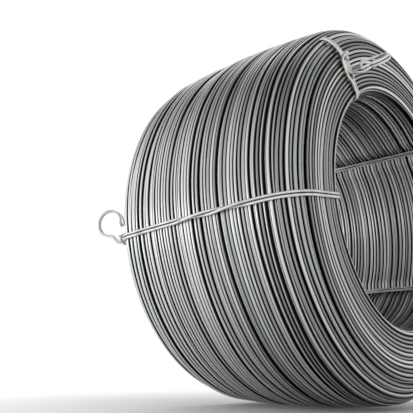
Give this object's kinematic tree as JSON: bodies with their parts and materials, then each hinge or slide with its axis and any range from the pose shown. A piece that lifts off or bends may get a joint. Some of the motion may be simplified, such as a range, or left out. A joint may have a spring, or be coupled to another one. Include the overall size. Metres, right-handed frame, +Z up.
{
  "type": "coil of wire rod",
  "caption": "Coil of steel wire rod wound in close turns round an open eye, standing on its rim and bound across its section by doubled wire ties with looped ends.",
  "frame": {"origin": "centre of the eye, on the coil's axis halfway across its width", "axes": "+Y along the coil's axis away from the near end in the picture, +Z up, so that the coil stands on its rim; the side of the barrel that the picture shows faces -X"},
  "size_m": [0.6663, 0.4837, 0.66],
  "materials": {
    "rod": "satin drawn steel rod",
    "tie": "bright tie wire"
  },
  "bodies": {
    "root": {"coil": "rod", "tie_front": "tie", "tie_top": "tie", "tie_back": "tie", "tie_low": "tie"}
  },
  "joints": []
}
